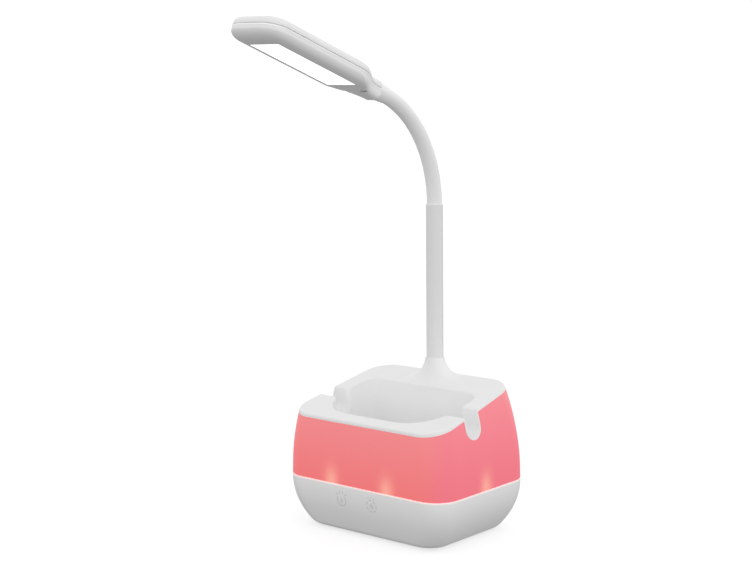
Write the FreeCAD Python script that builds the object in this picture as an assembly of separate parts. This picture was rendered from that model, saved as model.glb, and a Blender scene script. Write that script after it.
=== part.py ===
import FreeCAD, Part
import math
import os
from FreeCAD import Placement, Rotation, Vector

# Rechargeable desk lamp on an organiser base: a rounded box with a pen well and a phone
# slot, a glowing band, a rear stem, a gooseneck and a slim LED head.
# Millimetres. Origin on the desk under the middle of the base; +Z up, front at -Y.

# ---- Base: plan outline at its widest level, a rounded rectangle ----
base_width = 127.6
base_depth = 90.8
corner_radius = 16.3

# ---- Base: upright profile, as the inset of the outline at each height ----
pad_proud = 0.8            # the rubber mat stands this far below the shell
widest_height = 34.2
side_bowl_inset = 16.6     # how far the underside's edge lies inside the widest outline
front_bowl_inset = 12.7
bowl_turn_radius = 6.4     # the arc that turns the wall under; a larger one runs on up
bowl_corner_radius = 12.0  # the plan's corners tighten to this at the underside
side_crown_radius = 173.0  # the walls lean in above the widest level along these arcs
front_crown_radius = 412.0

# ---- Base: shells ----
wall = 2.2
floor_thickness = 2.2
seam_height = 33.0         # lower shell below, glowing band above
seam_gap = 0.3
seam_edge_radius = 0.4     # both shells' edges at the seam are eased
lid_slope = 0.226          # the lid rises towards the rear
lid_front_height = 70.15   # band's top edge over the origin's plane at y = lid_front_y
lid_front_y = -48.4
lid_thickness = 2.0
lid_edge_radius = 1.4        # round the outside, the well and the slot alike
form_top = 97.0            # base solids are made this tall before the lid's plane cuts them

# ---- Organiser well ----
well_half_width = 45.6
well_front_y = -34.0
well_rear_y = 17.8
well_front_radius = 26.5   # the front corners are much rounder than the rear ones
well_rear_radius = 11.0
well_floor_height = 41.0
well_draft = 2.0           # each wall leans in by this much from rim to floor
well_wall = 2.0

# ---- Phone slot, through both side walls ----
slot_y = -8.4
slot_width = 12.1
slot_bottom_height = 66.6
slot_lining = 1.3
slot_mouth_radius = 3.0      # where the slot opens into the well

# ---- Stem and its trumpet collar ----
stem_y = 30.2
stem_radius = 5.4
stem_bore_radius = 4.85
stem_top_height = 200.8
stem_foot_height = 70.0
collar_top_height = 103.2
collar_top_radius = 6.1
collar_side_reach = 22.0   # the flare's foot is a squarish oval on the lid
collar_front_reach = 11.0
collar_rear_reach = 10.6
collar_foot_power = 4.0    # 2 would be an ellipse
collar_sink = 0.04         # the flare's foot starts this far inside the lid
socket_radius = 8.2
socket_bottom_height = 79.0
running_gap = 0.05

# ---- Gooseneck: one arc from upright to the head's own tilt, cut into links ----
neck_radius = 4.75
core_radius = 3.0
core_bore_radius = 1.6
bend_radius = 74.1
bend_angle = 70.1
link_count = 10            # the arc's last step is held stiff by the head's ferrule
ball_radius = 6.0          # a link's domed end, about the joint's centre
link_gap = 0.3
neck_root_depth = 14.0     # how far the neck reaches down inside the stem

# ---- Head, in its own frame: underside at 0, tip at -Y, tail at +Y ----
head_half_width = 20.1
head_tip_y = -82.3
head_tip_corner = 12.0
head_shoulder_y = -8.0
head_shoulder_radius = 24.0
head_taper_angle = 34.0
head_waist_radius = 24.0
head_tail_half_width = 6.6
head_tail_y = 28.0
head_height = 12.4
head_seam_height = 7.4
head_seam_gap = 0.25
head_seam_edge = 0.3
head_under_radius = 4.4      # at the tail
head_bevel_width = 9.1       # the underside falls away towards the tip and the sides
head_bevel_height = 5.3      # along an elliptical edge of this width and height
head_bevel_margin = 0.1      # and the ellipse starts this far outside the walls
head_top_radius = 4.2
head_wall = 1.6
head_axis_height = 6.9     # height of the gooseneck's axis where it meets the tail
arc_end_y = 37.9           # where the gooseneck's arc begins
window_half_width = 11.0
window_length = 67.8

os.makedirs("parts", exist_ok=True)

X, Y, Z = Vector(1, 0, 0), Vector(0, 1, 0), Vector(0, 0, 1)
ORIGIN = Vector(0, 0, 0)


def save(shape, node):
    """Write one sub-part under its node name."""
    shape = shape.removeSplitter()
    for solid in shape.Solids:
        if not solid.isValid() or solid.Volume <= 0:
            print("CHECK", node, "valid", solid.isValid(), "volume", solid.Volume)
    print(f"{node:22s} solids {len(shape.Solids):2d}  volume {shape.Volume:10.1f}")
    shape.exportStep(f"parts/{node}.step")


def box(x0, x1, y0, y1, z0, z1):
    return Part.makeBox(x1 - x0, y1 - y0, z1 - z0, Vector(x0, y0, z0))


def rod(radius, x, y, z0, z1):
    return Part.makeCylinder(radius, z1 - z0, Vector(x, y, z0))


def joined(shapes):
    """Fuse shapes that touch into one solid."""
    first, *rest = shapes
    return first.fuse(rest).removeSplitter() if rest else first


def group(shapes):
    """Keep separate solids together in one node."""
    return Part.makeCompound(shapes)


def rounded_plate(x0, x1, y0, y1, z0, z1, radius):
    """Flat plate with rounded upright corners."""
    plate = box(x0, x1, y0, y1, z0, z1)
    uprights = [e for e in plate.Edges if abs(e.Length - (z1 - z0)) < 1e-6
                and abs(e.tangentAt(e.FirstParameter).z) > 0.99]
    return plate.makeFillet(radius, uprights)


def rim_at(shape, height):
    """A shape's edges that lie flat at one height."""
    return [e for e in shape.Edges if abs(e.BoundBox.ZMin - height) < 0.01
            and abs(e.BoundBox.ZMax - height) < 0.01]


# ======================= Base outline family =======================

def wall_inset(height, bowl_inset, crown_radius):
    """How far a wall lies inside the widest outline at a height.

    A small arc turns under the bowl, a larger tangent one rises to the widest level, and
    the crown's arc leans in above it.
    """
    if height >= widest_height:
        return crown_radius - math.sqrt(crown_radius ** 2 - (height - widest_height) ** 2)
    drop = widest_height - pad_proud
    turn = bowl_turn_radius
    side = (bowl_inset ** 2 + (drop - turn) ** 2 - turn ** 2) / (2 * (bowl_inset - turn))
    meet = widest_height - (drop - turn) * side / (side - turn)
    if height < meet:
        below = pad_proud + turn - height
        return bowl_inset - math.sqrt(max(0.0, turn ** 2 - below ** 2))
    return side - math.sqrt(side ** 2 - (widest_height - height) ** 2)


def corner_at(height):
    """Plan radius of the corners at a height, and the spot of one corner's centre."""
    sunk = max(0.0, widest_height - height) / (widest_height - pad_proud)
    radius = corner_radius + (bowl_corner_radius - corner_radius) * sunk
    x = base_width / 2 - wall_inset(height, side_bowl_inset, side_crown_radius) - radius
    y = base_depth / 2 - wall_inset(height, front_bowl_inset, front_crown_radius) - radius
    return radius, Vector(x, y, height)


def wall_levels(z0, z1):
    """Heights from z0 to z1, close together where the wall turns under."""
    steps = [bowl_turn_radius * (1 - math.cos(math.radians(15 * i))) for i in range(1, 7)]
    levels = [pad_proud + step for step in steps] + [11.0, 16.5, 24.0, widest_height,
                                                     46.0, 60.0, 78.0]
    return [z0] + [z for z in levels if z0 + 0.2 < z < z1 - 0.5] + [z1]


def base_form(z0, z1, inward=0.0):
    """Closed solid under the base's outer wall, moved inwards, from height z0 to z1.

    A level quarter circle sweeps each corner while its centre and radius follow the
    profile; flat-sided walls join the corners.
    """
    radii, spots = zip(*[corner_at(z) for z in wall_levels(z0, z1)])
    along = [0.0]
    for last, spot, old, new in zip(spots, spots[1:], radii, radii[1:]):
        along.append(along[-1] + (spot - last).Length + abs(new - old))
    path, width = Part.BSplineCurve(), Part.BSplineCurve()
    path.interpolate(Points=list(spots), Parameters=along)
    width.interpolate(Points=[Vector(radius, spot.z, 0) for radius, spot in zip(radii, spots)],
                      Parameters=along)
    knots, mults, degree = path.getKnots(), path.getMultiplicities(), path.Degree
    poles = [(spot, size.x - inward) for spot, size in zip(path.getPoles(), width.getPoles())]

    def rim(sx, sy, dx, dy):
        """Poles of one upright line of a corner, off its centre by dx and dy radii."""
        return [Vector(sx * (p.x + r * dx), sy * (p.y + r * dy), p.z) for p, r in poles]

    faces = []
    for sx, sy in ((1, 1), (-1, 1), (-1, -1), (1, -1)):
        rows = zip(rim(sx, sy, 1, 0), rim(sx, sy, 1, 1), rim(sx, sy, 0, 1))
        patch = Part.BSplineSurface()
        patch.buildFromPolesMultsKnots([list(row) for row in rows], mults, [3, 3], knots,
                                       [0.0, 1.0], False, False, degree, 2,
                                       [[1.0, math.sqrt(0.5), 1.0]] * len(poles))
        faces.append(patch.toShape())
    for start, end, dx, dy in (((1, -1), (1, 1), 1, 0), ((1, 1), (-1, 1), 0, 1),
                               ((-1, 1), (-1, -1), 1, 0), ((-1, -1), (1, -1), 0, 1)):
        rows = zip(rim(*start, dx, dy), rim(*end, dx, dy))
        patch = Part.BSplineSurface()
        patch.buildFromPolesMultsKnots([list(row) for row in rows], mults, [2, 2], knots,
                                       [0.0, 1.0], False, False, degree, 1)
        faces.append(patch.toShape())
    for height in (z0, z1):
        edges = [edge for face in faces[:8] for edge in rim_at(face, height)]
        faces.append(Part.Face(Part.Wire(Part.__sortEdges__(edges))))
    shell = Part.makeShell(faces)
    shell.sewShape()
    solid = Part.makeSolid(shell)
    if solid.Volume < 0:
        solid.reverse()
    return solid


def above_lid(offset):
    """Everything above the lid's sloping plane, raised by an offset."""
    y0, y1 = -80.0, 80.0
    z0 = lid_front_height + lid_slope * (y0 - lid_front_y) + offset
    z1 = lid_front_height + lid_slope * (y1 - lid_front_y) + offset
    corners = [Vector(-90, y0, z0), Vector(-90, y1, z1), Vector(-90, y1, 260),
               Vector(-90, y0, 260)]
    face = Part.Face(Part.makePolygon(corners + corners[:1]))
    return face.extrude(X * 180)


def lid_height(y):
    return lid_front_height + lid_slope * (y - lid_front_y)


# ======================= Organiser well and phone slot =======================

def rounded_loop(half_width, y0, y1, front_radius, rear_radius, z):
    """Rounded rectangle as a wire at one height, anticlockwise from its front right corner."""
    spots = []
    for sx, sy in ((1, -1), (1, 1), (-1, 1), (-1, -1)):
        radius = front_radius if sy < 0 else rear_radius
        centre = Vector(sx * (half_width - radius), (y0 if sy < 0 else y1) - sy * radius, z)
        ends = [centre + Vector(0, sy * radius, 0), centre + Vector(sx * radius, 0, 0)]
        middle = centre + Vector(sx, sy, 0) * (radius * math.sqrt(0.5))
        first, last = ends if sx * sy < 0 else ends[::-1]
        spots.append((first, middle, last))
    edges = []
    for i, (first, middle, last) in enumerate(spots):
        edges.append(Part.Arc(first, middle, last).toShape())
        edges.append(Part.LineSegment(last, spots[(i + 1) % 4][0]).toShape())
    return Part.Wire(edges)


def well_form(grow, floor, round_radius):
    """The well's pocket, grown outwards, from its floor to well above the rim."""
    top = 130.0
    rim = lid_height(well_rear_y)
    lean = well_draft / (rim - well_floor_height)
    loops = []
    for z in (floor, top):
        inward = lean * (rim - z) - grow
        loops.append(rounded_loop(well_half_width - inward, well_front_y + inward,
                                  well_rear_y - inward, well_front_radius - inward,
                                  well_rear_radius - inward, z))
    pocket = Part.makeLoft(loops, True, True)
    bottom = [e for e in pocket.Edges if e.BoundBox.ZMax < floor + 0.01]
    return pocket.makeFillet(round_radius, bottom)


def slot_form(grow, x0, x1):
    """The phone slot's U section, grown outwards, run along X."""
    radius = slot_width / 2 + grow
    centre_z = slot_bottom_height + slot_width / 2
    lower = Part.makeCylinder(radius, x1 - x0, Vector(x0, slot_y, centre_z), X)
    upper = box(x0, x1, slot_y - radius, slot_y + radius, centre_z, 130.0)
    return joined([lower, upper])


# ======================= Base pieces =======================

SCREW_SPOTS = [(sx * 30.0, y) for sx in (-1, 1) for y in (-21.0, 13.0)]
BOARD_SPOTS = [(sx * 26.0, 33.5) for sx in (-1, 1)]
MOOD_SPOTS = [(sx * 37.6, y) for sx in (-1, 1) for y in (-20.0, 9.0)]
inner_floor = pad_proud + floor_thickness
post_joint_height = 22.0       # lower shell's bosses end and the lid's posts begin
ballast_top = inner_floor + 4.0
main_board_height = 15.0
mood_board_height = 35.0
board_thickness = 1.6
socket_mouth_height = main_board_height + board_thickness
mat_half = (42.0, 28.0)
mat_depth = 1.0                # recess in the shell that holds the mat


def lower_shell():
    """White bowl with bosses, a recess for the mat and the charging inlet's opening."""
    rim = seam_height - seam_gap / 2
    bowl = base_form(pad_proud, rim)
    bowl = bowl.makeFillet(seam_edge_radius, rim_at(bowl, rim))
    bowl = bowl.cut(base_form(inner_floor, seam_height + 2, wall))
    lip = base_form(seam_height - 2.0, seam_height + 3.0, wall / 2 + 0.05)
    lip = lip.cut(base_form(seam_height - 2.5, seam_height + 3.5, wall))
    bosses = [rod(3.4, x, y, inner_floor - 0.5, post_joint_height) for x, y in SCREW_SPOTS]
    bosses += [rod(2.6, x, y, inner_floor - 0.5, main_board_height) for x, y in BOARD_SPOTS]
    ledges = [box(x - 3, x + 3, -42.0, -35.4, inner_floor - 0.5, 16.0) for x in (-17.0, 17.0)]
    inside = base_form(inner_floor - 0.5, seam_height, wall - 0.4)
    extras = [piece.common(inside) for piece in bosses + ledges]
    bowl = joined([bowl, lip] + extras)
    for x, y in SCREW_SPOTS:
        bowl = bowl.cut(rod(3.1, x, y, 0, 8.0)).cut(rod(1.7, x, y, 0, 40))
    for x, y in BOARD_SPOTS:
        bowl = bowl.cut(rod(0.9, x, y, 8.0, 40))
    recess = rounded_plate(-mat_half[0] - 0.1, mat_half[0] + 0.1, -mat_half[1] - 0.1,
                           mat_half[1] + 0.1, 0, pad_proud + mat_depth, 12.1)
    inlet = rounded_plate(-4.7, 4.7, -1.85, 1.85, 0, 20, 1.84)
    inlet.Placement = Placement(Vector(0, 31, socket_mouth_height + 1.65), Rotation(X, -90))
    return bowl.cut(recess).cut(inlet)


def base_mat():
    mat = rounded_plate(-mat_half[0], mat_half[0], -mat_half[1], mat_half[1],
                        0, pad_proud + mat_depth, 12.0)
    rim = [e for e in mat.Edges if e.BoundBox.ZMax < 0.01]
    mat = mat.makeFillet(0.5, rim)
    for x, y in SCREW_SPOTS:
        mat = mat.cut(rod(3.6, x, y, -1, 5))
    return mat


def glow_band():
    """Translucent ring between the seam and the lid, notched for the phone slot."""
    rim = seam_height + seam_gap / 2
    band = base_form(rim, form_top)
    band = band.makeFillet(seam_edge_radius, rim_at(band, rim))
    band = band.cut(base_form(seam_height - 1, form_top + 1, wall - 0.2))
    band = band.cut(base_form(seam_height - 1, seam_height + 3.2, wall / 2 - 0.05))
    band = band.cut(above_lid(0))
    for x0, x1 in ((-70, -40), (40, 70)):
        band = band.cut(slot_form(slot_lining + 0.05, x0, x1))
    return band


def collar_form():
    """Trumpet flare: a round lip above, a squarish oval foot tangent to the sloping lid."""
    foot_z = lid_height(stem_y) + lid_thickness - collar_sink
    drop = collar_top_height - foot_z
    run = collar_side_reach - collar_top_radius
    radius = (drop ** 2 + run ** 2) / (2 * drop)
    full = math.asin(run / radius)
    levels, spots = 7, 32
    loops = []
    for i in range(levels + 1):
        turn = full * i / levels
        rise = radius * (1 - math.cos(turn)) / drop
        spread = 1 - radius * math.sin(turn) / run
        side, front, rear = (collar_top_radius + (reach - collar_top_radius) * spread for reach in
                             (collar_side_reach, collar_front_reach, collar_rear_reach))
        power = 2 + (collar_foot_power - 2) * spread
        points = []
        for j in range(spots):
            around = 2 * math.pi * j / spots
            across, along = math.cos(around), math.sin(around)
            depth = rear if along > 0 else front
            reach = (abs(across / side) ** power + abs(along / depth) ** power) ** (-1 / power)
            z = foot_z + drop * rise + lid_slope * reach * along * (1 - rise)
            points.append(Vector(reach * across, stem_y + reach * along, z))
        curve = Part.BSplineCurve()
        curve.interpolate(points, PeriodicFlag=True)
        loops.append(Part.Wire(curve.toShape()))
    flare = Part.makeLoft(loops, True, False)
    root = Part.Face(loops[0]).extrude(Z * -1.8)
    return joined([flare, root])


def hollow_form():
    """The well and the slot as one hollow, rounded where they run into each other."""
    hollow = well_form(0, well_floor_height, 5.0).fuse(slot_form(0, -72, 72))
    reach = slot_width / 2 + 0.01
    corners = []
    for edge in hollow.Edges:
        spot = edge.CenterOfMass
        if abs(spot.y - slot_y) < reach and 42 < abs(spot.x) < 48 and slot_bottom_height < spot.z < 110:
            corners.append(edge)
    return hollow.makeFillet(slot_mouth_radius, corners)


def lid_edges(shape):
    """Edges of a lid slab's upper face."""
    return [e for e in shape.Edges
            if all(abs(p.z - lid_height(p.y) - lid_thickness) < 0.02
                   for p in (e.valueAt((e.FirstParameter + e.LastParameter) / 2),
                             *(v.Point for v in e.Vertexes)))]


def top_cover():
    """Lid, well, slot linings, stem collar and screw posts, moulded in one."""
    outer = base_form(60.0, form_top)
    hollow = hollow_form()
    slab = outer.common(above_lid(0)).cut(above_lid(lid_thickness)).cut(hollow)
    slab = joined([part.makeFillet(lid_edge_radius, lid_edges(part)) for part in slab.Solids])
    skirt = base_form(60.0, form_top, wall + 0.05)
    skirt = skirt.cut(base_form(59.0, form_top + 1, wall + 1.4))
    skirt = skirt.common(above_lid(-4.0)).cut(above_lid(0))
    collar = collar_form().common(base_form(60.0, 106.0, 0.8))
    socket = rod(socket_radius, 0, stem_y, socket_bottom_height, lid_height(stem_y) + 1)
    tub = well_form(well_wall, well_floor_height - well_wall, 6.0).cut(above_lid(0))
    linings = []
    for x0, x1 in ((-70, -42), (42, 70)):
        lining = slot_form(slot_lining, x0, x1).common(outer).cut(above_lid(0))
        linings.append(lining)
    posts = [rod(3.4, x, y, post_joint_height, well_floor_height - 1) for x, y in SCREW_SPOTS]
    posts += [rod(2.2, x, y, mood_board_height + board_thickness, well_floor_height + 0.5)
              for x, y in MOOD_SPOTS]
    under = joined([skirt, socket, tub] + linings + posts).cut(hollow)
    cover = joined([slab, under, collar])
    cover = cover.cut(rod(stem_radius + running_gap, 0, stem_y, 60, 120))
    for x, y in SCREW_SPOTS:
        cover = cover.cut(rod(1.2, x, y, 0, well_floor_height - 3))
    for x, y in MOOD_SPOTS:
        cover = cover.cut(rod(0.8, x, y, 0, well_floor_height - 1.5))
    return cover


def screw(head_radius, head_height, shank_radius, shank_length, x, y, z):
    """Self-tapping screw driven upwards, its head's face at height z."""
    head = rod(head_radius, x, y, z, z + head_height)
    shank = rod(shank_radius, x, y, z + head_height - 0.1, z + head_height + shank_length)
    slots = [box(x - 1.2, x + 1.2, y - 0.3, y + 0.3, z - 1, z + 0.9),
             box(x - 0.3, x + 0.3, y - 1.2, y + 1.2, z - 1, z + 0.9)]
    return joined([head, shank]).cut(slots[0]).cut(slots[1])


def base_screws():
    return group([screw(2.9, 2.0, 1.15, 25.0, x, y, 6.0) for x, y in SCREW_SPOTS])


def ballast_plate():
    plate = rounded_plate(-42, 42, -30, 22, inner_floor, ballast_top, 8)
    for x, y in SCREW_SPOTS:
        plate = plate.cut(rod(3.8, x, y, 0, 20))
    return plate


battery_y, battery_radius, battery_length = -7.0, 9.2, 65.0
battery_z = ballast_top + 1.2 + battery_radius


def battery_cell():
    can = Part.makeCylinder(battery_radius, battery_length,
                            Vector(-battery_length / 2, battery_y, battery_z), X)
    tip = Part.makeCylinder(2.8, 1.2, Vector(battery_length / 2 - 0.05, battery_y, battery_z), X)
    ends = [e for e in can.Edges if e.BoundBox.XLength < 0.01]
    return joined([can.makeFillet(0.8, ends), tip])


def battery_tray():
    """Open cradle under the cell, with end walls."""
    half = battery_length / 2 + 3.0
    tray = box(-half, half, battery_y - 10.4, battery_y + 10.4, ballast_top, battery_z)
    hollow = Part.makeCylinder(battery_radius + 0.1, 2 * half - 3.0,
                               Vector(-half + 1.5, battery_y, battery_z), X)
    tray = tray.cut(hollow)
    for x, y in SCREW_SPOTS:
        tray = tray.cut(rod(3.8, x, y, 0, 40))
    return tray


def main_board():
    board = box(-32, 32, 22.0, 39.4, main_board_height, main_board_height + board_thickness)
    for x, y in BOARD_SPOTS:
        board = board.cut(rod(1.2, x, y, 0, 40))
    return board


def board_parts():
    """Chips, inductor and capacitors on the main board's upper face."""
    top = main_board_height + board_thickness
    chips = [box(-22, -15, 26, 31, top, top + 1.2), box(10, 15, 25, 29, top, top + 1.0),
             box(-12, -6, 30, 36, top, top + 3.0)]
    cans = [rod(2.5, x, y, top, top + 6.0) for x, y in ((20.0, 31.5), (-27.0, 27.0))]
    return group(chips + cans)


def charging_socket():
    """Metal charging receptacle with its open mouth at the rear wall."""
    body = rounded_plate(-4.5, 4.5, -1.6, 1.6, 0, 7.4, 1.59)
    mouth = rounded_plate(-4.15, 4.15, -1.25, 1.25, 1.5, 8.0, 1.24)
    tongue = box(-3.3, 3.3, -0.35, 0.35, 1.0, 6.6)
    shell = joined([body.cut(mouth), tongue])
    shell.Placement = Placement(Vector(0, 35.3, socket_mouth_height + 1.65), Rotation(X, -90))
    return shell


def board_screws():
    screws = []
    for x, y in BOARD_SPOTS:
        top = main_board_height + board_thickness
        head = rod(2.0, x, y, top, top + 1.3)
        screws.append(joined([head, rod(0.85, x, y, top - 6.0, top + 0.1)]))
    for x, y in MOOD_SPOTS:
        head = rod(1.8, x, y, mood_board_height - 1.3, mood_board_height)
        screws.append(joined([head, rod(0.75, x, y, mood_board_height - 0.1,
                                        mood_board_height + 4.2)]))
    return group(screws)


def touch_board():
    return box(-22, 22, -38.2, -36.6, 16.0, 31.5)


def touch_springs():
    """Two sprung contact discs between the touch board and the front wall's inside."""
    springs = []
    for x in (-11.8, 11.8):
        coil = Part.makeCylinder(3.2, 3.1, Vector(x, -41.3, 24.8), Y)
        bore = Part.makeCylinder(2.4, 3.0, Vector(x, -40.7, 24.8), Y)
        springs.append(coil.cut(bore))
    return group(springs)


def mood_board():
    """Flat frame under the well's floor that carries the band's lights."""
    frame = base_form(mood_board_height, mood_board_height + board_thickness, 5.0)
    frame = frame.cut(box(-35, 35, -30.5, 19.5, 30, 40))
    for x, y in MOOD_SPOTS:
        frame = frame.cut(rod(1.0, x, y, 30, 40))
    frame = frame.cut(rod(4.0, 0, stem_y, 30, 40))
    return frame


MOOD_LIGHTS = [(sx * 22.0, sy * (base_depth / 2 - 9.0)) for sx in (-1, 1) for sy in (-1, 1)]
MOOD_LIGHTS += [(sx * (base_width / 2 - 9.0), 0.0) for sx in (-1, 1)]


def mood_lights():
    low = mood_board_height + board_thickness
    return group([box(x - 2.5, x + 2.5, y - 2.5, y + 2.5, low, low + 1.6)
                  for x, y in MOOD_LIGHTS])


def stem_tube():
    tube = rod(stem_radius, 0, stem_y, stem_foot_height, stem_top_height - 3.6)
    return tube.cut(rod(stem_bore_radius, 0, stem_y, 0, 300))


def stem_cap():
    """Chamfered ring that closes the stem's top around the gooseneck."""
    low, high = stem_top_height - 3.6, stem_top_height + 0.4
    ring = rod(stem_radius, 0, stem_y, low, high)
    top = [e for e in ring.Edges if e.BoundBox.ZMin > high - 0.01]
    ring = ring.makeChamfer(0.45, top)
    return ring.cut(rod(neck_radius + running_gap, 0, stem_y, 0, 300))


def stem_washer():
    washer = rod(7.8, 0, stem_y, socket_bottom_height - 1.2, socket_bottom_height)
    return washer.cut(rod(stem_radius + running_gap, 0, stem_y, 0, 300))


def stem_nut():
    across = 15.0 / math.sqrt(3)
    top = socket_bottom_height - 1.2
    corners = [Vector(across * math.cos(math.radians(60 * i)),
                      stem_y + across * math.sin(math.radians(60 * i)), top - 5.0)
               for i in range(6)]
    prism = Part.Face(Part.makePolygon(corners + corners[:1])).extrude(Z * 5.0)
    return prism.cut(rod(stem_radius + running_gap, 0, stem_y, 0, 300))


def stem_leads():
    """Two insulated wires from the main board up inside the stem to the neck's root."""
    low = main_board_height + board_thickness
    return group([rod(0.6, x, stem_y, low, stem_top_height - neck_root_depth - 0.5)
                  for x in (-0.9, 0.9)])


# ======================= Gooseneck =======================

arc_centre = Vector(0, stem_y - bend_radius, stem_top_height)
step_angle = bend_angle / (link_count + 1)


def arc_tube(radius, start, end):
    """Bent rod along the neck's arc; angles count from the stem's top."""
    start_point = Vector(0, arc_centre.y + bend_radius, arc_centre.z)
    ring = Part.Face(Part.Wire(Part.makeCircle(radius, start_point, Z)))
    bent = ring.revolve(arc_centre, X, end - start)
    bent.rotate(arc_centre, X, start)
    return bent


def joint_centre(index):
    turn = math.radians(index * step_angle)
    return arc_centre + Vector(0, math.cos(turn), math.sin(turn)) * bend_radius


def link_solid(radius):
    """Bent rod from joint 0 to joint 1: hollow ball seat below, domed above."""
    dome_reach = math.degrees(1.2 * ball_radius / bend_radius)
    body = arc_tube(radius, 0, step_angle)
    ball = Part.makeSphere(ball_radius, joint_centre(1))
    dome = arc_tube(radius, 0.7 * step_angle, step_angle + dome_reach).common(ball)
    seat = Part.makeSphere(ball_radius + link_gap, joint_centre(0))
    return joined([body, dome]).cut(seat)


def first_link():
    """The link above the first joint, as soft sleeve and metal hose."""
    sleeve = link_solid(neck_radius)
    hose = link_solid(core_radius)
    sleeve = sleeve.cut(arc_tube(core_radius + running_gap, -step_angle, 2.2 * step_angle))
    return sleeve, hose.cut(arc_tube(core_bore_radius, -step_angle, 2.2 * step_angle))


def neck_root():
    """The neck's fixed end: straight inside the stem, domed about the first joint."""
    low = stem_top_height - neck_root_depth
    ball = Part.makeSphere(ball_radius, joint_centre(0))
    reach = math.degrees(1.2 * ball_radius / bend_radius)

    def grown(radius, keep_dome):
        straight = rod(radius, 0, stem_y, low, stem_top_height)
        tip = arc_tube(radius, 0, reach)
        return joined([straight, tip.common(ball) if keep_dome else tip])

    sleeve = grown(neck_radius, True).cut(grown(core_radius + running_gap, False))
    core = grown(core_radius, True).cut(grown(core_bore_radius, False))
    return sleeve, core


# ======================= Head, in its own frame =======================

def head_outline(inward):
    """Plan of the head as a wire at height 0: blunt tip, straight sides, waisted tail."""
    turn = math.radians(head_taper_angle)
    half = head_half_width - inward
    tail_half = head_tail_half_width - inward
    corner = head_tip_corner - inward
    bend = head_shoulder_radius - inward
    waist = head_waist_radius + inward
    tip_y, tail_y = head_tip_y + inward, head_tail_y - inward
    corner_centre = Vector(half - corner, tip_y + corner, 0)
    shoulder_centre = Vector(half - bend, head_shoulder_y, 0)
    leave = shoulder_centre + Vector(math.cos(turn), math.sin(turn), 0) * bend
    # The straight taper runs from the shoulder to where the waist's arc begins.
    waist_x = tail_half + waist * (1 - math.cos(turn))
    reach = Vector(waist_x, leave.y + (leave.x - waist_x) / math.tan(turn), 0)
    waist_centre = Vector(tail_half + waist, reach.y + waist * math.sin(turn), 0)
    halfway = Vector(math.cos(turn / 2), math.sin(turn / 2), 0)
    diagonal = Vector(math.sqrt(0.5), -math.sqrt(0.5), 0)
    right = [Part.Arc(Vector(corner_centre.x, tip_y, 0), corner_centre + diagonal * corner,
                      Vector(half, corner_centre.y, 0)),
             Part.LineSegment(Vector(half, corner_centre.y, 0), Vector(half, head_shoulder_y, 0)),
             Part.Arc(Vector(half, head_shoulder_y, 0), shoulder_centre + halfway * bend, leave),
             Part.LineSegment(leave, reach),
             Part.Arc(reach, waist_centre - halfway * waist, waist_centre - X * waist),
             Part.LineSegment(waist_centre - X * waist, Vector(tail_half, tail_y, 0))]
    right = Part.Wire([piece.toShape() for piece in right])
    left = right.mirror(ORIGIN, X)
    ends = [Part.LineSegment(Vector(-x, y, 0), Vector(x, y, 0)).toShape()
            for x, y in ((corner_centre.x, tip_y), (tail_half, tail_y))]
    return Part.Wire(Part.__sortEdges__(right.Edges + left.Edges + ends))


def head_rim(shape, height, tail_y=head_tail_y):
    """A head solid's edges that lie flat at one height, without the tail's end."""
    return [e for e in rim_at(shape, height) if e.BoundBox.YMin < tail_y - 0.01]


def head_bevel(inward):
    """A long block with the head's tip, sides and elliptical lower edge, open to the tail."""
    low, width = inward, head_bevel_width - inward
    squash = (head_bevel_height - inward) / width
    half = head_half_width + head_bevel_margin - inward
    tip_y = head_tip_y - head_bevel_margin + inward
    block = box(-half, half, tip_y, 60, 0, 30)
    uprights = [e for e in block.Edges if e.BoundBox.YMax < tip_y + 1 and e.BoundBox.ZLength > 29]
    block = block.makeFillet(head_tip_corner + head_bevel_margin - inward, uprights)
    block = block.makeFillet(width, [e for e in rim_at(block, 0) if e.BoundBox.YMin < 59])
    flatten = FreeCAD.Matrix()
    flatten.scale(1, 1, squash)
    block = block.transformGeometry(flatten)
    block.translate(Z * low)
    return block


def head_form(inward):
    """The whole head as a solid, moved inwards on every side."""
    low, high = inward, head_height - inward
    outline = head_outline(inward)
    outline.translate(Z * low)
    body = Part.Face(outline).extrude(Z * (high - low))
    tail_y = head_tail_y - inward
    body = body.makeFillet(head_under_radius - inward, head_rim(body, low, tail_y))
    body = body.makeFillet(head_top_radius - inward, head_rim(body, high, tail_y))
    return body.common(head_bevel(inward))


HEAD_OUTER = head_form(0)
HEAD_INNER = head_form(head_wall)
HEAD_SCREWS = [(-6.4, 12.4), (6.4, 12.4)]
clamp_top = 10.45
led_board_height = 5.2


def head_slice(shape, low, high):
    return shape.common(box(-40, 40, -120, 60, low, high))


def head_shell(low, high, seam):
    """One half of the head's casing, with its outer edge at the seam eased."""
    half = head_slice(HEAD_OUTER, low, high)
    half = half.makeFillet(head_seam_edge, head_rim(half, seam))
    return half.cut(HEAD_INNER)


def head_bore():
    """Opening in the tail's end wall for the metal hose."""
    return Part.makeCylinder(core_radius + running_gap, 12,
                             Vector(0, head_tail_y - 8, head_axis_height), Y)


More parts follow.
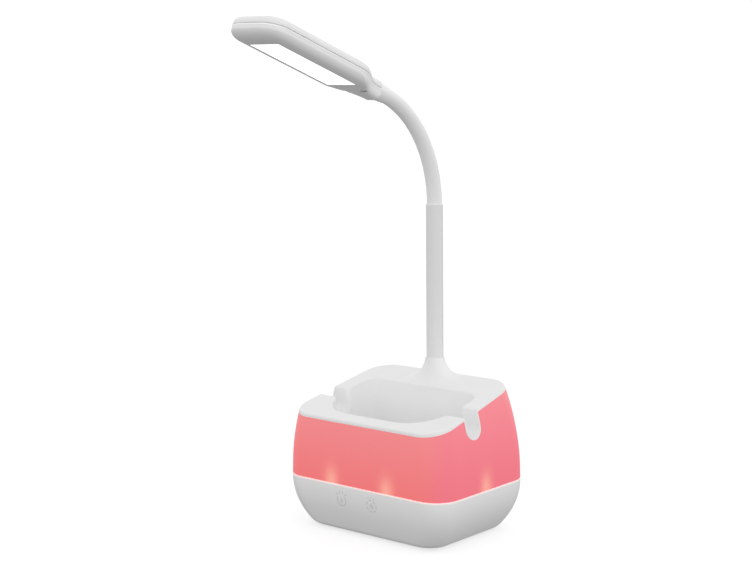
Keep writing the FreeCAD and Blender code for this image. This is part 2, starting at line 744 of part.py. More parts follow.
def head_lower_cover():
    seam = head_seam_height - head_seam_gap / 2
    shell = head_shell(-1, seam, seam)
    ribs = [box(-11, 11, y, y + 1.6, head_wall - 0.2, led_board_height)
            for y in (1.2, -71.4)]
    cradle = box(-4.0, 4.0, 10.4, 14.4, head_wall - 0.2, head_axis_height)
    bosses = [rod(2.9, x, y, head_wall - 0.2, 5.0) for x, y in HEAD_SCREWS]
    inside = HEAD_INNER.fuse(head_slice(HEAD_OUTER, 0.4, 4.0))
    shell = joined([shell] + [piece.common(inside) for piece in ribs + bosses + [cradle]])
    window = box(-window_half_width, window_half_width, -window_length, 0, -1, 3)
    shell = shell.cut(window).cut(head_bore())
    hose = Part.makeCylinder(core_radius + running_gap, 30, Vector(0, 0, head_axis_height), Y)
    shell = shell.cut(hose)
    for x, y in HEAD_SCREWS:
        shell = shell.cut(rod(2.2, x, y, -1, 2.6)).cut(rod(1.2, x, y, -1, 8))
    return shell


def head_top_cover():
    seam = head_seam_height + head_seam_gap / 2
    shell = head_shell(seam, head_height + 1, seam)
    bosses = [rod(1.9, x, y, clamp_top + 0.02, head_height - 1.0).common(HEAD_OUTER)
              for x, y in HEAD_SCREWS]
    shell = joined([shell] + bosses).cut(head_bore())
    for x, y in HEAD_SCREWS:
        shell = shell.cut(rod(0.75, x, y, 0, head_height - 0.9))
    return shell


def diffuser():
    """Milky window with a flange that holds it behind the cover."""
    gap = 0.1
    pane = box(-window_half_width + gap, window_half_width - gap, -window_length + gap, -gap,
               0.15, head_wall + 0.6)
    flange = box(-window_half_width - 1.2, window_half_width + 1.2, -window_length - 1.6, 0.9,
                 head_wall + 0.02, head_wall + 0.7)
    return joined([pane, flange.common(HEAD_INNER)])


def led_board():
    return box(-11.5, 11.5, -71.4, 2.8, led_board_height, led_board_height + 1.2)


def head_lights():
    """Two rows of small emitters facing down."""
    lights = []
    for row in (-5.2, 5.2):
        for i in range(9):
            y = -5.0 - i * (window_length - 10.0) / 8
            lights.append(box(row - 1.4, row + 1.4, y - 1.75, y + 1.75,
                              led_board_height - 0.8, led_board_height))
    return group(lights)


def neck_clamp():
    """Plate that the two head screws draw down onto the hose."""
    plate = rounded_plate(-8.6, 8.6, 10.4, 14.2, clamp_top - 1.7, clamp_top, 1.0)
    plate = plate.common(head_form(head_wall + 0.1))
    seat = Part.makeCylinder(core_radius + running_gap, 30, Vector(0, 0, head_axis_height), Y)
    plate = plate.cut(seat)
    for x, y in HEAD_SCREWS:
        plate = plate.cut(rod(1.2, x, y, 0, 20))
    return plate


def head_screws():
    return group([screw(2.0, 1.4, 0.7, 8.8, x, y, 1.1) for x, y in HEAD_SCREWS])


def head_leads():
    """Two wires from the hose's end to the light board."""
    return group([Part.makeCylinder(0.6, 3.4, Vector(x, 2.82, head_axis_height), Y)
                  for x in (-0.9, 0.9)])


def neck_ferrule():
    """Tapered collar that covers the gooseneck's end at the head's tail."""
    length = 10.6
    cone = Part.makeCone(5.95, 5.15, length, Vector(0, head_tail_y + 0.15, head_axis_height), Y)
    rims = [e for e in cone.Edges if e.BoundBox.YLength < 0.01]
    cone = cone.makeFillet(0.3, rims)
    bore = Part.makeCylinder(neck_radius + running_gap, 30,
                             Vector(0, head_tail_y - 5, head_axis_height), Y)
    return cone.cut(bore)


def neck_end():
    """The neck's last stretch: a ball seat below, a bend, then straight into the head."""
    seat = Part.makeSphere(ball_radius + link_gap, joint_centre(link_count))

    def run(radius, y0):
        bent = arc_tube(radius, link_count * step_angle, bend_angle)
        straight = Part.makeCylinder(radius, arc_end_y - y0, Vector(0, y0, head_axis_height), Y)
        return joined([bent, at_head(straight)])

    sleeve = run(neck_radius, head_tail_y + 0.4).cut(seat).cut(run(core_radius + running_gap, 0))
    core = run(core_radius, 6.3).cut(seat).cut(run(core_bore_radius, 0))
    return sleeve, core


def at_head(shape):
    """Turn a piece from the head's frame to its place at the gooseneck's end."""
    tilt = 90.0 - bend_angle
    arc_end_in_head = Vector(0, arc_end_y, head_axis_height)
    placed = shape.copy()
    placed.translate(arc_end_in_head * -1)
    placed.rotate(ORIGIN, X, -tilt)
    placed.translate(joint_centre(link_count + 1))
    return placed


# ======================= Write every piece =======================

for build in (lower_shell, base_mat, glow_band, top_cover, base_screws, ballast_plate,
              battery_cell, battery_tray, main_board, board_parts, charging_socket,
              board_screws, touch_board, touch_springs, mood_board, mood_lights,
              stem_tube, stem_cap, stem_washer, stem_nut, stem_leads):
    save(build(), build.__name__)

for build in (head_lower_cover, head_top_cover, diffuser, led_board, head_lights,
              neck_clamp, head_screws, head_leads, neck_ferrule):
    save(at_head(build()), build.__name__)

root_sleeve, root_core = neck_root()
save(root_sleeve, "neck_sleeve_root")
save(root_core, "neck_hose_root")
for number in range(1, link_count + 1):
    for piece, name in zip(first_link(), ("neck_sleeve", "neck_hose")):
        piece.rotate(arc_centre, X, (number - 1) * step_angle)
        save(piece, f"{name}_{number:02d}")
end_sleeve, end_core = neck_end()
save(end_sleeve, "neck_sleeve_end")
save(end_core, "neck_hose_end")
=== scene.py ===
import math

import bmesh
import bpy
import numpy as np
from mathutils import Matrix


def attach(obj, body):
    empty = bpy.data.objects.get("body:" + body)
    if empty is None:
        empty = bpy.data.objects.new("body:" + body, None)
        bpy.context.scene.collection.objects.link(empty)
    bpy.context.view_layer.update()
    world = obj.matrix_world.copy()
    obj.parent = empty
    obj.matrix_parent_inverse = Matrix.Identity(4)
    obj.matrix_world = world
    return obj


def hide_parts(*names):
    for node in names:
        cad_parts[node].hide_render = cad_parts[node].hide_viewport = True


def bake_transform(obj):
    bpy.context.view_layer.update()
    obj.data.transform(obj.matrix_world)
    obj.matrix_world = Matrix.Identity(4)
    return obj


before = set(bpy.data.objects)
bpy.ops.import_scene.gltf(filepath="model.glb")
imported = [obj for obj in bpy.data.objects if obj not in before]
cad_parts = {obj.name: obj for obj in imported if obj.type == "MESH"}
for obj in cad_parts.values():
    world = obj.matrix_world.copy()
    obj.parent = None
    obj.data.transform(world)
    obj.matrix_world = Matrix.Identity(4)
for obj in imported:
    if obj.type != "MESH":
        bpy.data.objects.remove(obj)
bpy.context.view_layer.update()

# ---- Lower shell -------------------------------------------------------------------------
# The white bowl that the lamp stands in, injection moulded in ABS with a satin skin.
# It carries the boards and the cell, and the lid is drawn down onto it by four screws.


class Wire:
    """A socket of a finish. Operators between wires and numbers add the Math nodes they name."""

    def __init__(self, finish, socket):
        self.finish, self.socket = finish, socket

    def maths(self, operation, first, second=0.5):
        return self.finish.add("ShaderNodeMath", {"operation": operation}, {0: first, 1: second})

    def out(self, name):
        return Wire(self.finish, self.socket.node.outputs[name])

    def __add__(self, other):
        return self.maths("ADD", self, other)

    def __sub__(self, other):
        return self.maths("SUBTRACT", self, other)

    def __rsub__(self, other):
        return self.maths("SUBTRACT", other, self)

    def __mul__(self, other):
        return self.maths("MULTIPLY", self, other)

    def __truediv__(self, other):
        return self.maths("DIVIDE", self, other)

    def __rtruediv__(self, other):
        return self.maths("DIVIDE", other, self)

    def __rpow__(self, other):
        return self.maths("POWER", other, self)

    def __gt__(self, other):
        return self.maths("GREATER_THAN", self, other)

    def __abs__(self):
        return self.maths("ABSOLUTE", self)

    __radd__, __rmul__ = __add__, __mul__


class Finish:
    """One material: a Principled shader with its fixed values, and the nodes that feed it."""

    def __init__(self, name, **fixed):
        self.material = bpy.data.materials.new(name)
        self.material.use_nodes = True
        self.tree = self.material.node_tree
        self.tree.nodes.clear()
        self.shader = self.tree.nodes.new("ShaderNodeBsdfPrincipled")
        end = self.tree.nodes.new("ShaderNodeOutputMaterial")
        self.tree.links.new(self.shader.outputs["BSDF"], end.inputs["Surface"])
        for socket, value in fixed.items():
            self.shader.inputs[socket.replace("_", " ")].default_value = value

    def add(self, kind, settings, inputs, output=0):
        """One node: its settings, then a value or a wire for each input; gives one output."""
        node = self.tree.nodes.new(kind)
        for name, value in settings.items():
            if name == "stops":
                self.stops(node.color_ramp, value)
            else:
                setattr(node, name, value)
        for name, value in inputs.items():
            self.plug(node.inputs[name], value)
        return Wire(self, node.outputs[output])

    def stops(self, ramp, stops):
        while len(ramp.elements) < len(stops):
            ramp.elements.new(0.5)
        for element, (place, colour) in zip(ramp.elements, stops):
            element.position, element.color = place, colour

    def plug(self, socket, value):
        if isinstance(value, Wire):
            self.tree.links.new(value.socket, socket)
        else:
            socket.default_value = value

    def feed(self, **wires):
        for socket, wire in wires.items():
            self.plug(self.shader.inputs[socket.replace("_", " ")], wire)

    def place(self):
        """Object coordinates in metres, which are the lamp's own."""
        return self.add("ShaderNodeTexCoord", {}, {}, "Object")

    def axis(self, letter):
        """One of the object coordinates, in metres."""
        return self.add("ShaderNodeSeparateXYZ", {}, {"Vector": self.place()}, letter)

    def fade(self, value, start, end):
        """Runs smoothly from 0 to 1 as a value goes from start to end."""
        return self.add("ShaderNodeMapRange", {"interpolation_type": "SMOOTHSTEP"},
                        {"Value": value, "From Min": start, "From Max": end})

    def noise(self, per_metre, detail=3.0, stretch=(1, 1, 1)):
        """Soft noise from 0 to 1 with so many lumps to a metre."""
        spread = self.add("ShaderNodeVectorMath", {"operation": "MULTIPLY"},
                          {0: self.place(), 1: stretch})
        return self.add("ShaderNodeTexNoise", {},
                        {"Vector": spread, "Scale": per_metre, "Detail": detail})

    def tint(self, factor, low, high, way="MIX"):
        """Colour from low to high by a factor."""
        settings = {"data_type": "RGBA", "blend_type": way}
        return self.add("ShaderNodeMix", settings, {0: factor, 6: low, 7: high}, 2)

    def relief(self, height, depth, strength=1.0):
        """Bump of a depth in metres from a height of 0 to 1."""
        return self.add("ShaderNodeBump", {},
                        {"Height": height, "Distance": depth, "Strength": strength})

    def cover(self, *pieces):
        """Gives the finish to CAD nodes by name, or to new pieces."""
        for piece in pieces:
            mesh = (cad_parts[piece] if isinstance(piece, str) else piece).data
            mesh.materials.clear()
            mesh.materials.append(self.material)
        return self


def shade(red, green=None, blue=None):
    """A display colour of 0 to 255 as the shader's own linear values."""
    channels = np.array([red, red, red] if green is None else [red, green, blue]) / 255
    linear = np.where(channels > 0.04045, ((channels + 0.055) / 1.055) ** 2.4, channels / 12.92)
    return (*linear.tolist(), 1.0)


def moulded(name, low, high, rough, grain_depth=4e-6, **fixed):
    """Satin moulded plastic: faint clouding, uneven gloss and a fine spark-eroded grain."""
    finish = Finish(name, Specular_IOR_Level=0.45, IOR=1.5, **fixed)
    cloud = finish.noise(22.0)
    grain = finish.noise(2600.0, 2.0)
    finish.feed(Base_Color=finish.tint(cloud, low, high),
                Roughness=rough - 0.05 + cloud * 0.06 + grain * 0.05,
                Normal=finish.relief(grain, grain_depth))
    return finish


# Painted light as emission: a faint painted glow over the shell's upper half and a painted
# highlight line at the lip.
painted_glow_low, painted_glow_high = 0.011, 0.034
lip_highlight_low, lip_highlight_high = 0.0316, 0.0326
shell = moulded("white_shell", shade(238), shade(243), 0.42, Emission_Strength=1.0)
level = shell.axis("Z")
painted_glow = shell.tint(shell.fade(level, painted_glow_low, painted_glow_high), shade(0), shade(72, 68, 68))
lip_highlight = shell.fade(level, lip_highlight_low, lip_highlight_high)
shell.feed(Emission_Color=shell.tint(lip_highlight, painted_glow, shade(146, 118, 112)))
shell.cover("lower_shell")

# ---- Touch marks -------------------------------------------------------------------------
# Two pad-printed pictograms over the touch springs: a light bulb for the reading light and
# a dashed ring for the band. Grey ink, a few hundredths of a millimetre proud of the shell.
MM = 0.001
mark_spots = {"touch_mark_light": (-15.1, 24.5), "touch_mark_mood": (9.6, 23.4)}
line_width, ink_proud, ink_sunk = 0.55, 0.03, 0.05
line_sides = 8


def shell_front(z):
    """The shell's front face as y, in mm: flat across, and upright an arc of radius 67.4 that
    draws it in below the widest level of 34.2."""
    bowl, widest, half_depth = 67.41, 34.2, 45.4
    return bowl - half_depth - np.sqrt(bowl ** 2 - (widest - z) ** 2)


def ribbon(line, spot):
    """A printed line: a lens-shaped section carried along a plane line and bent onto the
    shell's front. Gives its points and faces, closed at both ends."""
    line = np.asarray(line, float)
    along = np.gradient(line, axis=0)
    along /= np.linalg.norm(along, axis=1, keepdims=True)
    across = np.stack([along[:, 1], -along[:, 0]], axis=1)
    turn = np.arange(line_sides) * 2 * math.pi / line_sides
    flat = line[:, None, :] + across[:, None, :] * (line_width / 2 * np.cos(turn))[None, :, None]
    lift = np.where(np.sin(turn) > 0, ink_proud, ink_sunk) * np.sin(turn)
    x, z = flat[..., 0] + spot[0], flat[..., 1] + spot[1]
    points = np.stack([x, shell_front(z) - lift[None, :], z], axis=2)
    return points.reshape(-1, 3), tube_faces(len(line), line_sides)


def tube_faces(rings, spots):
    """Quads between neighbouring rings of a tube, and one many-sided face at each end."""
    i, j = np.meshgrid(np.arange(rings - 1), np.arange(spots), indexing="ij")
    k = (j + 1) % spots
    quads = np.stack([i * spots + j, i * spots + k, (i + 1) * spots + k, (i + 1) * spots + j], 2)
    ends = [list(range(spots))[::-1], list(range((rings - 1) * spots, rings * spots))]
    return quads.reshape(-1, 4).tolist() + ends


def piece(name, parts, smooth=35.0):
    """A mesh object from (points in mm, faces) parts, faces turned outwards, sharp edges kept."""
    points, faces, count = [], [], 0
    for part_points, part_faces in parts:
        points.append(part_points * MM)
        faces += [[index + count for index in face] for face in part_faces]
        count += len(part_points)
    mesh = bpy.data.meshes.new(name)
    mesh.from_pydata(np.concatenate(points), [], faces)
    mesh.validate()
    made = bpy.data.objects.new(name, mesh)
    bpy.context.scene.collection.objects.link(made)
    outwards(mesh)
    mesh.polygons.foreach_set("use_smooth", np.ones(len(mesh.polygons), bool))
    mesh.set_sharp_from_angle(angle=math.radians(smooth))
    return made


def outwards(mesh):
    """Recalculates the normals of a closed mesh so that they point out."""
    shape = bmesh.new()
    shape.from_mesh(mesh)
    bmesh.ops.recalc_face_normals(shape, faces=shape.faces)
    shape.to_mesh(mesh)
    shape.free()


def arc(radius_x, radius_z, start, end, centre=(0.0, 0.0), steps=24):
    """Part of an ellipse in the mark's plane, angles in degrees from the right."""
    turn = np.radians(np.linspace(start, end, steps))
    return np.stack([centre[0] + radius_x * np.cos(turn), centre[1] + radius_z * np.sin(turn)], 1)


def dash(angle, near, far, centre=(0.0, 0.0)):
    """A short straight ray at an angle."""
    reach = np.linspace(near, far, 4)[:, None]
    return np.array(centre) + reach * [math.cos(math.radians(angle)), math.sin(math.radians(angle))]


def bolt(size, centre=(0.0, 0.0)):
    """A small lightning stroke of three straight runs."""
    corners = np.array([(0.35, 1.0), (-0.4, 0.05), (0.4, -0.05), (-0.35, -1.0)]) * size
    share = np.linspace(0, 1, 5)[:, None]
    runs = [a + (b - a) * share for a, b in zip(corners[:-1], corners[1:])]
    return [run + centre for run in runs]


bulb_centre = (0.6, -1.6)
bulb_lines = [arc(3.3, 3.4, -215, 45, bulb_centre, 40)]
bulb_lines += [dash(angle, 4.4, 6.0, bulb_centre) for angle in (48, 76, 104, 132)]
bulb_lines += bolt(1.5, bulb_centre)
ring_lines = [arc(3.7, 3.7, start, start + 34) for start in range(-72, 288, 52)]
ring_lines += [dash(angle, 4.7, 5.7, (0.0, 0.0)) for angle in (66, 90, 114)]
ring_lines += [dash(angle, 0.5, 1.9) for angle in range(15, 375, 60)]

ink = Finish("grey_ink", Specular_IOR_Level=0.3)
speckle = ink.noise(9000.0)
ink.feed(Base_Color=ink.tint(speckle, shade(206), shade(220)), Roughness=0.5 + speckle * 0.2)
for (name, spot), lines in zip(mark_spots.items(), (bulb_lines, ring_lines)):
    mark = piece(name, [ribbon(line, spot) for line in lines])
    ink.cover(mark)
    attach(mark, "base")

# ---- Mat ---------------------------------------------------------------------------------
# A pale silicone mat let into the underside, so that the base doesn't slide on a desk.
# Compression moulded, matt, with a fine dimple all over.
rubber = Finish("mat_silicone", Specular_IOR_Level=0.25)
dimple = rubber.add("ShaderNodeTexVoronoi", {}, {"Vector": rubber.place(), "Scale": 900.0})
rubber.feed(Base_Color=rubber.tint(rubber.noise(60.0), shade(176), shade(190)),
            Roughness=0.7 + dimple * 0.2, Normal=rubber.relief(dimple, 3e-5))
rubber.cover("base_mat")

# ---- What the shell holds ----------------------------------------------------------------
# Ballast plate, rechargeable cell in its tray, boards with their parts, springs and screws.
# Sheet steel, a shrink-wrapped can, solder-masked boards and plated small parts.


def metal(name, low, high, rough, stretch=(1, 1, 1), per_metre=900.0, scratch=6e-6):
    """Plated or bare metal with drawn or random scratches."""
    finish = Finish(name, Metallic=1.0)
    lines = finish.noise(per_metre, 4.0, stretch)
    finish.feed(Base_Color=finish.tint(lines, low, high), Roughness=rough - 0.08 + lines * 0.16,
                Normal=finish.relief(lines, scratch))
    return finish


def circuit(name, mask, track):
    """Solder mask over copper tracks that run in steps on a 2 mm grid."""
    finish = Finish(name, Coat_Weight=0.3, Coat_Roughness=0.2)
    brick = finish.add("ShaderNodeTexBrick", {"offset": 0.5},
                       {"Vector": finish.place(), "Scale": 160.0, "Mortar Size": 0.03,
                        "Color1": mask, "Color2": mask, "Mortar": track})
    finish.feed(Base_Color=finish.tint(finish.noise(300.0) * 0.25, brick, mask),
                Roughness=0.3 + finish.noise(500.0) * 0.15,
                Normal=finish.relief(brick.out("Fac"), 2e-5))
    return finish


metal("zinc_plate", shade(176, 180, 186), shade(208, 210, 212), 0.32).cover(
    "base_screws", "board_screws", "touch_springs")
metal("sheet_steel", shade(112, 114, 118), shade(142, 144, 147), 0.45, (0.05, 1, 1)).cover(
    "ballast_plate")
metal("tin_plate", shade(170), shade(196), 0.28, (1, 0.1, 1)).cover("charging_socket")
circuit("green_board", shade(14, 84, 44), shade(38, 122, 66)).cover("main_board", "touch_board")
circuit("white_board", shade(226), shade(212)).cover("mood_board", "led_board")
moulded("black_plastic", shade(34), shade(46), 0.5).cover("battery_tray")

film_end = 0.0315
wrap = Finish("cell_wrap", Coat_Weight=0.6, Coat_Roughness=0.15, Roughness=0.3)
bare_end = abs(wrap.axis("X")) > film_end
crinkle = wrap.noise(400.0, 3.0, (0.3, 1, 1))
film = wrap.tint(crinkle, shade(40, 96, 158), shade(52, 112, 176))
wrap.feed(Base_Color=wrap.tint(bare_end, film, shade(196)), Metallic=bare_end,
          Normal=wrap.relief(crinkle, 2e-5))
wrap.cover("battery_cell")

cans_above = 0.0205
chips = Finish("component_black", Specular_IOR_Level=0.4)
can = chips.axis("Z") > cans_above
chips.feed(Base_Color=chips.tint(can, shade(30), shade(178)), Metallic=can,
           Roughness=0.35 + chips.noise(1500.0) * 0.2)
chips.cover("board_parts")

leads = Finish("wire_insulation", Coat_Weight=0.3)
side = leads.axis("X") > 0.0
sheath = leads.noise(700.0)
leads.feed(Base_Color=leads.tint(side, shade(26), shade(176, 26, 22)),
           Roughness=0.35 + sheath * 0.15, Normal=leads.relief(sheath, 1e-5))
leads.cover("stem_leads", "head_leads")

lens = Finish("light_chips", Specular_IOR_Level=0.6, Emission_Strength=1.0)
grains = lens.noise(4000.0)
lens.feed(Base_Color=lens.tint(grains, shade(244, 214, 120), shade(252, 232, 160)),
          Emission_Color=lens.tint(grains, shade(120, 104, 70), shade(150, 134, 96)),
          Roughness=0.25 + grains * 0.2)
lens.cover("mood_lights", "head_lights")

# ---- Glow band ---------------------------------------------------------------------------
# A ring of milky plastic between the two white shells, lit coral pink from inside.
# Six chips shine up just behind its lower edge and leave a soft peach flare each.
front_chip_x, front_chip_y = 0.022, 0.0454
side_chip_x, side_chip_y = 0.0638, -0.001
flare_width, flare_foot = 0.005, 0.0345
band_foot, band_height = 0.033, 0.05
right_turn, right_face = 0.05, 0.062
band = Finish("coral_band", Specular_IOR_Level=0.35, Emission_Strength=1.0)
x, y, z = (band.axis(letter) for letter in "XYZ")


def flare(away_x, away_y, tall):
    """Bell curve about a chip: e to the minus squared distance, stretched upwards."""
    across = (away_x * away_x + away_y * away_y) / flare_width ** 2
    up = (z - flare_foot) / tall
    return math.e ** (0.0 - across - up * up)


flares = flare(abs(x) - front_chip_x, abs(y) - front_chip_y, 0.008)
flares = flares + flare(abs(x) - side_chip_x, y - side_chip_y, 0.009)
rise = (z - band_foot) / band_height
glow = band.tint(rise, shade(221, 111, 112), shade(218, 130, 133))
glow = band.tint(band.fade(x, right_turn, right_face) * 0.6, glow, shade(218, 109, 130))
lit = band.tint(flares * 0.9, glow, shade(236, 166, 148))
band.feed(Base_Color=band.tint(rise, shade(120, 48, 52), shade(132, 60, 62)), Emission_Color=lit,
          Roughness=0.38 + band.noise(1800.0) * 0.08,
          Normal=band.relief(band.noise(2600.0, 2.0), 3e-6))
band.cover("glow_band")

# ---- Lid ---------------------------------------------------------------------------------
# Sloping lid, pen well, phone slot and trumpet collar, moulded in one piece of satin ABS.
# It rests on the band all round and is screwed from below.
moulded("white_cover", shade(244), shade(248), 0.38).cover("top_cover")

# ---- Stem --------------------------------------------------------------------------------
# A drawn steel tube, powder coated white, clamped under the lid by a washer and a nut.
# A turned ring closes its top around the gooseneck.
coat = Finish("powder_coat", Coat_Weight=0.2, Coat_Roughness=0.3)
peel = coat.noise(1100.0, 2.0)
coat.feed(Base_Color=coat.tint(coat.noise(30.0), shade(238), shade(242)),
          Roughness=0.36 + peel * 0.08, Normal=coat.relief(peel, 1e-5))
coat.cover("stem_tube", "stem_cap")
metal("nut_steel", shade(168, 172, 178), shade(200, 202, 204), 0.35, (1, 1, 0.2)).cover(
    "stem_washer", "stem_nut")

# ---- Gooseneck ---------------------------------------------------------------------------
# A coiled steel hose that holds any shape it is bent to, in a smooth white silicone sleeve.
# Each length runs from the middle of one link to the middle of the next.
stem_back, stem_top = 30.2, 200.8
bend_radius, bend_angle, joints = 74.1, math.radians(70.1), 11
step = bend_angle / joints
root_length = 14.0
skin_past_arc, hose_past_arc = 9.4, 31.5
skin_outer, skin_inner = 4.75, 3.05
hose_outer, hose_inner = 3.0, 1.6
hose_pitch, hose_groove = 1.7, 0.35
arc_length = bend_radius * bend_angle


def neck_line(run):
    """Centre line by length run from the stem's top: straight below it, an arc of radius 74.1
    leaning forwards, then straight at the head's tilt. Gives points, tangents and outward
    normals in the lamp's middle plane."""
    turn = np.clip(run / bend_radius, 0, bend_angle)
    over = run - turn * bend_radius
    zero = np.zeros_like(turn)
    tangent = np.stack([zero, -np.sin(turn), np.cos(turn)], 1)
    normal = np.stack([zero, np.cos(turn), np.sin(turn)], 1)
    centre = np.array([0, stem_back - bend_radius, stem_top])
    return centre + normal * bend_radius + tangent * over[:, None], tangent, normal


def sleeve(start, end, outer, inner, rings, spots, wave=0.0):
    """A bent pipe between two lengths along the neck. Its section is carried along the centre
    line; wave is how deep a coil of the hose's pitch is sunk into the outer wall."""
    run = np.linspace(start, end, rings)
    turn = np.arange(spots) * 2 * math.pi / spots
    point, _, normal = neck_line(run)
    coil = wave * (0.5 + 0.5 * np.cos(2 * math.pi * run[:, None] / hose_pitch - turn[None, :]))
    skins = []
    for radius in (outer - coil, inner + 0 * coil):
        side = np.cos(turn)[None, :] * radius
        out = np.sin(turn)[None, :] * radius
        skins.append(point[:, None, :] + out[..., None] * normal[:, None, :]
                     + side[..., None] * np.array([1.0, 0, 0]))
    grid = np.concatenate([skins[0], skins[1][::-1]])
    i, j = np.meshgrid(np.arange(2 * rings), np.arange(spots), indexing="ij")
    k, m = (i + 1) % (2 * rings), (j + 1) % spots
    faces = np.stack([i * spots + j, i * spots + m, k * spots + m, k * spots + j], 2)
    return grid.reshape(-1, 3), faces.reshape(-1, 4).tolist()


silicone = Finish("neck_silicone", Specular_IOR_Level=0.4)
haze = silicone.noise(40.0)
silicone.feed(Base_Color=silicone.tint(haze, shade(249), shade(252)),
              Roughness=0.42 + haze * 0.06,
              Normal=silicone.relief(silicone.noise(1500.0, 2.0), 4e-6))
hose = metal("hose_steel", shade(150, 152, 156), shade(184, 186, 189), 0.35, (1, 1, 1), 1200.0)
sleeve_nodes = ["root"] + [f"{k:02d}" for k in range(1, joints)] + ["end"]
half = bend_radius * step / 2
for k in range(joints):
    middle = bend_radius * step * k
    last = k == joints - 1
    start = -root_length if k == 0 else middle - half
    skin_end, hose_end = (arc_length + past if last else middle + half
                          for past in (skin_past_arc, hose_past_arc))
    near = neck_line(np.array([max(middle - half, -0.5), middle + half]))[0]
    stood_for = sleeve_nodes[k:] if last else sleeve_nodes[k:k + 1]
    skin_rings = round((skin_end - start) * 1.3)
    hose_rings = round((hose_end - start) / hose_pitch * 12)
    skin = piece(f"neck_skin_{k:02d}", [
        sleeve(start, skin_end, skin_outer, skin_inner, skin_rings, 48)])
    coil = piece(f"neck_coil_{k:02d}", [
        sleeve(start, hose_end, hose_outer, hose_inner, hose_rings, 28, hose_groove)])
    for made, finish, node, slot in ((skin, silicone, "neck_sleeve", "neck_silicone"),
                                     (coil, hose, "neck_hose", "hose_steel")):
        finish.cover(made)
        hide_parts(*[f"{node}_{which}" for which in stood_for])
        near[0] * MM
        near[1] * MM
        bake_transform(made)

# ---- Head --------------------------------------------------------------------------------
# Two satin ABS shells that meet at an open seam, with a milky window in the lower one.
# The lower shell is screwed to the upper through two deep holes under the tail. Painted light
# as emission: a painted highlight along the seam's lower edge and painted light over the flanks.
tilt = math.radians(90.0) - bend_angle
arc_end = neck_line(np.array([arc_length]))[0][0]
axis_height, seam_height = 6.9, 7.4
seam_level = arc_end[1] * math.sin(tilt) + arc_end[2] * math.cos(tilt) + seam_height - axis_height
moulded("head_top_white", shade(246), shade(250), 0.36).cover("head_top_cover")
casing = moulded("head_lower_white", shade(246), shade(250), 0.36, Emission_Strength=1.0)
leaning = casing.axis("Y") * math.sin(tilt) + casing.axis("Z") * math.cos(tilt)
below_seam = seam_level * MM - leaning
# Painted highlight just under the seam, brighter at the nose, and painted light on the flanks, both
# as emission.
glint_level, glint_edge, glint_core = 0.0005, 0.00045, 0.0002
flank_top, flank_full, flank_waning, flank_foot = 0.0016, 0.0030, 0.0050, 0.0066
nose_front, nose_back = -0.129, -0.123
painted_seam_highlight = casing.fade(abs(below_seam - glint_level), glint_edge, glint_core)
painted_flank_light = (casing.fade(below_seam, flank_top, flank_full)
              * casing.fade(below_seam, flank_foot, flank_waning))
behind_nose = casing.fade(casing.axis("Y"), nose_front, nose_back)
flank_light_colour = casing.tint(painted_flank_light * behind_nose, shade(0), shade(70))
seam_highlight_colour = casing.tint(behind_nose, shade(120), shade(92))
casing.feed(Emission_Color=casing.tint(painted_seam_highlight, flank_light_colour, seam_highlight_colour))
casing.cover("head_lower_cover")
moulded("ferrule_white", shade(253), shade(255), 0.4).cover("neck_ferrule")

window = Finish("milky_window", Specular_IOR_Level=0.3, Emission_Strength=1.15)
murk = window.noise(120.0)
window.feed(Base_Color=window.tint(murk, shade(250), shade(255)),
            Emission_Color=window.tint(murk, shade(252, 252, 250), shade(255)),
            Roughness=0.5 + murk * 0.1)
window.cover("diffuser")

metal("black_oxide", shade(22), shade(40), 0.4).cover("head_screws")
metal("clamp_steel", shade(160), shade(186), 0.35, (0.1, 1, 1)).cover("neck_clamp")

# ---- Studio ------------------------------------------------------------------------------
# A plain pale floor under a white tent, brighter above the horizon and to the lamp's right.
# The camera stands in front of the lamp's right side, a little above the lid.
bpy.context.scene.view_settings.view_transform = "Standard"

floor_size = 120.0
bpy.ops.mesh.primitive_plane_add(size=floor_size)
floor = bpy.context.object
floor.name = "floor"
paint = Finish("pale_floor", Specular_IOR_Level=0.0, Emission_Strength=0.58)
paint.feed(Base_Color=paint.tint(paint.noise(3.0), shade(196), shade(200)), Roughness=0.9,
           Emission_Color=shade(255))
paint.cover(floor)
floor.visible_diffuse = False
floor.visible_glossy = False

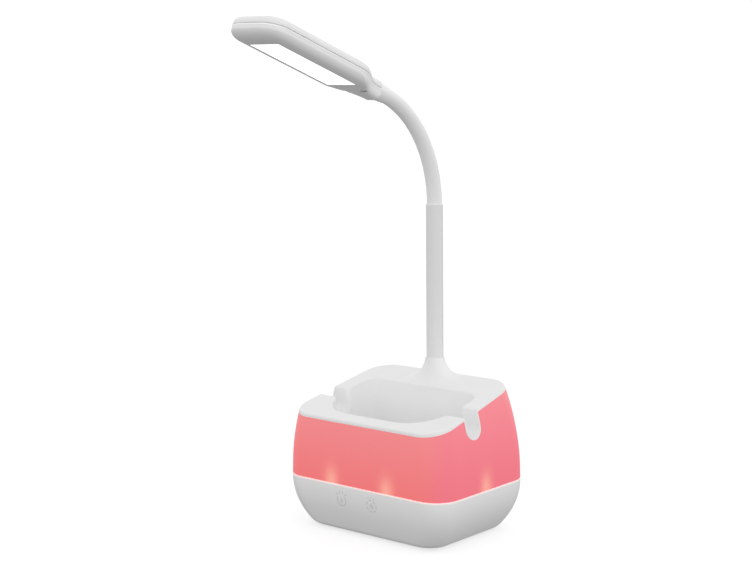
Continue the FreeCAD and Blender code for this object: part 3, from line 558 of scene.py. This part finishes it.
left_strength, right_strength = 1.1, 1.36
sky_levels = ((0.0, 0.26), (0.44, 0.26), (0.51, 1.0), (1.0, 0.64))
world = bpy.data.worlds.new("tent")
bpy.context.scene.world = world
world.use_nodes = True
tree = world.node_tree
sky = tree.nodes["Background"]
towards = tree.nodes.new("ShaderNodeTexCoord")
split = tree.nodes.new("ShaderNodeSeparateXYZ")
upwards = tree.nodes.new("ShaderNodeMapRange")
rightwards = tree.nodes.new("ShaderNodeMapRange")
ramp = tree.nodes.new("ShaderNodeValToRGB")
tree.links.new(towards.outputs["Generated"], split.inputs["Vector"])
tree.links.new(split.outputs["Z"], upwards.inputs["Value"])
tree.links.new(upwards.outputs["Result"], ramp.inputs["Fac"])
tree.links.new(ramp.outputs["Color"], sky.inputs["Color"])
tree.links.new(split.outputs["X"], rightwards.inputs["Value"])
tree.links.new(rightwards.outputs["Result"], sky.inputs["Strength"])
upwards.inputs["From Min"].default_value = -1.0
rightwards.inputs["To Min"].default_value = left_strength
rightwards.inputs["To Max"].default_value = right_strength
ramp.color_ramp.interpolation = "EASE"
paint.stops(ramp.color_ramp, [(place, (bright, bright, bright, 1.0))
                              for place, bright in sky_levels])

camera_azimuth, camera_elevation = math.radians(40.4413), math.radians(7.8749)
camera_roll = math.radians(-0.4958)
camera_place = np.array([627.10, -762.89, 291.20]) * MM
ca, sa = math.cos(camera_azimuth), math.sin(camera_azimuth)
ce, se = math.cos(camera_elevation), math.sin(camera_elevation)
cr, sr = math.cos(camera_roll), math.sin(camera_roll)
upright = np.array([(ca, sa, 0), (-sa * se, ca * se, ce), (sa * ce, -ca * ce, se)])
rolled = np.array([(cr, sr, 0), (-sr, cr, 0), (0, 0, 1)]) @ upright
view = np.eye(4)
view[:3, :3] = rolled.T
view[:3, 3] = camera_place
lens_data = bpy.data.cameras.new("camera")
lens_data.lens, lens_data.sensor_width = 77.12, 36.0
camera = bpy.data.objects.new("camera", lens_data)
bpy.context.scene.collection.objects.link(camera)
camera.matrix_world = Matrix(view.tolist())
bpy.context.scene.camera = camera
